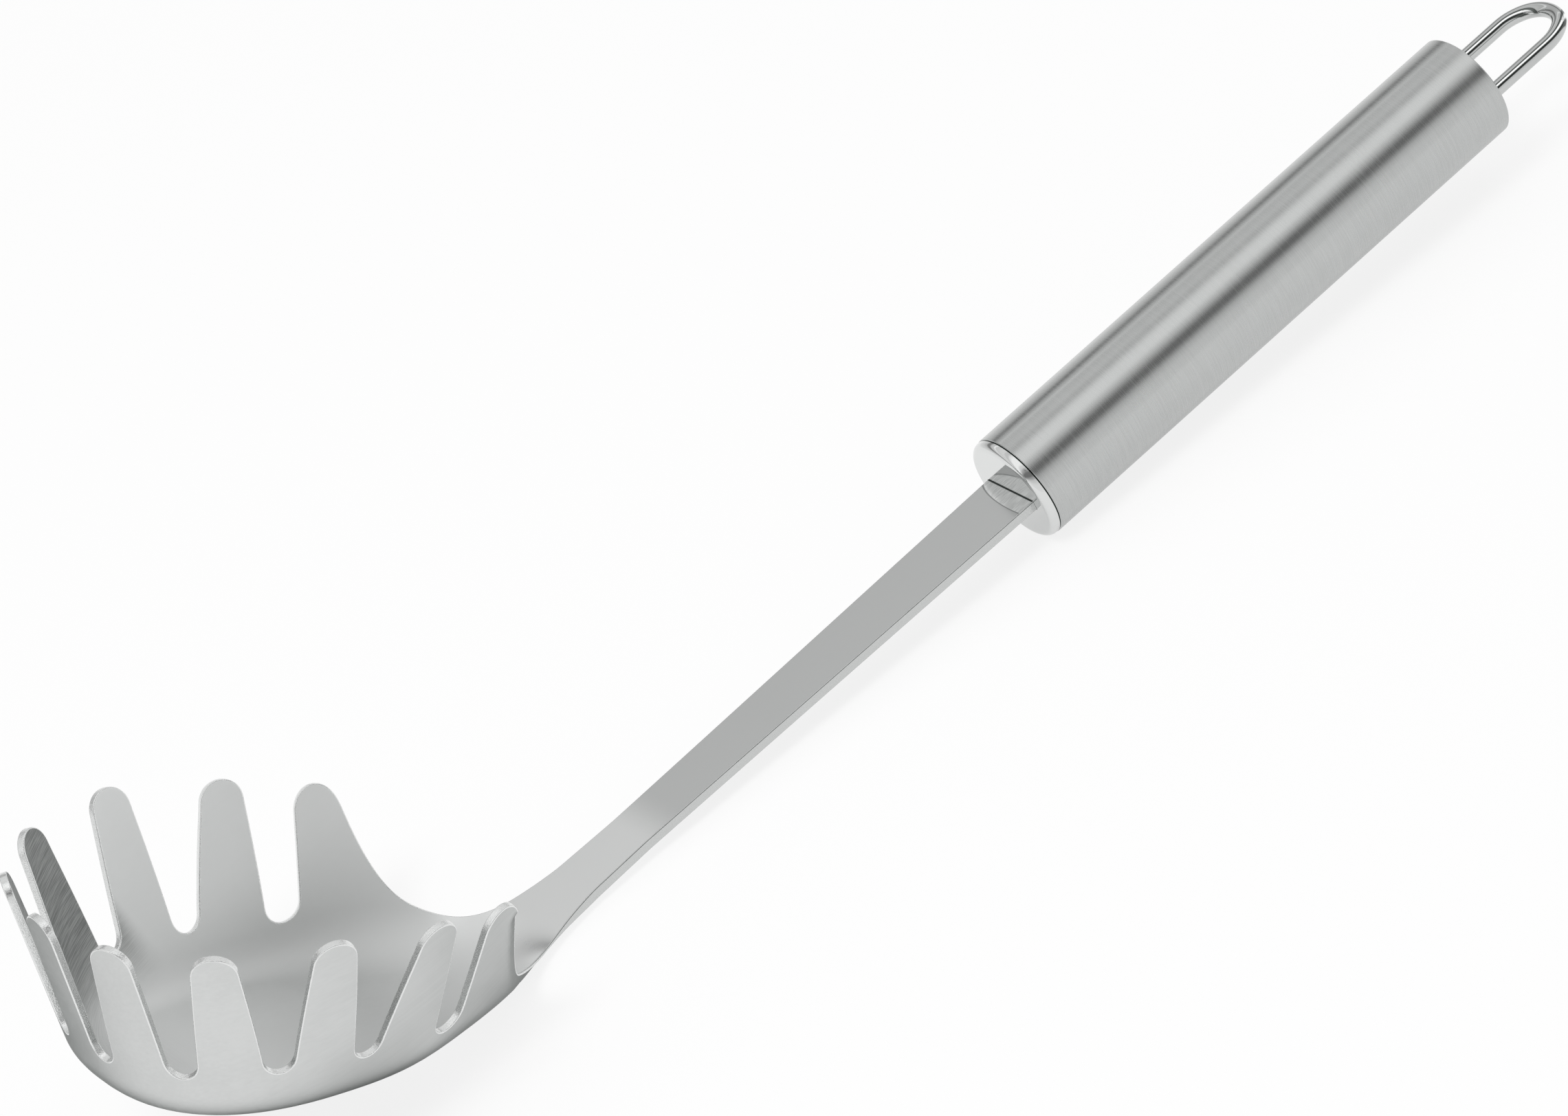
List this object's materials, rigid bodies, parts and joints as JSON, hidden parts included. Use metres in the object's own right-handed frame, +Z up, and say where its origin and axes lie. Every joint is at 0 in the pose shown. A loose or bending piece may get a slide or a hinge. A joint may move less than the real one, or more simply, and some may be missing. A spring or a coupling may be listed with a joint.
{
  "type": "pasta server",
  "caption": "Stainless pasta server: a deep bowl ringed with tall tines on a flat shank, with a brushed round tube handle and a bent wire hanging loop.",
  "frame": {"origin": "centre of the bounding box, on the plane that the server lies on", "axes": "+X towards the hanging loop, with the bowl at -X; +Z up, out of the open bowl; +Y across the server. It lies at rest: the bowl's floor and the lower front edge of the tube touch the plane, so the handle rises by 4.2 degrees towards the loop"},
  "size_m": [0.3182, 0.073, 0.0625],
  "materials": {
    "polished_sheet": "polished, with a fine satin grain",
    "polished_cap": "mirror polished",
    "brushed_tube": "brushed round the tube",
    "polished_wire": "mirror polished"
  },
  "bodies": {
    "root": {"head_and_shank": "polished_sheet", "front_cap": "polished_cap", "handle_tube": "brushed_tube", "rear_cap": "polished_cap", "hanging_loop": "polished_wire"}
  },
  "joints": []
}
